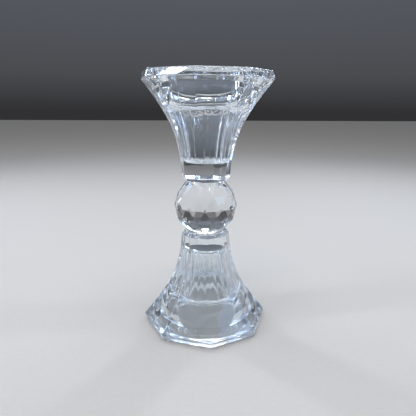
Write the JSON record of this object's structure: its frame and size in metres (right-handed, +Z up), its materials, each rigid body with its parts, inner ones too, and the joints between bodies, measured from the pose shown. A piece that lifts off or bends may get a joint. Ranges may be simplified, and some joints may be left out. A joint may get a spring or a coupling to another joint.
{
  "type": "glass candlestick",
  "caption": "Clear pressed glass candlestick: an octagonal flared cup and a matching inverted base joined by a faceted crystal ball.",
  "frame": {"origin": "centre of the base's rim land, where the axis meets the table", "axes": "+Z up along the candlestick's axis; the base octagon has corners on the X and Y axes"},
  "size_m": [0.082, 0.082, 0.161],
  "materials": {
    "cup_glass": "fire polished",
    "base_glass": "fire polished",
    "ball_crystal": "cut and polished",
    "cement": "clear cured"
  },
  "bodies": {
    "root": {"candle_cup": "cup_glass", "upper_cement": "cement", "crystal_ball": "ball_crystal", "lower_cement": "cement", "pedestal_base": "base_glass"}
  },
  "joints": []
}
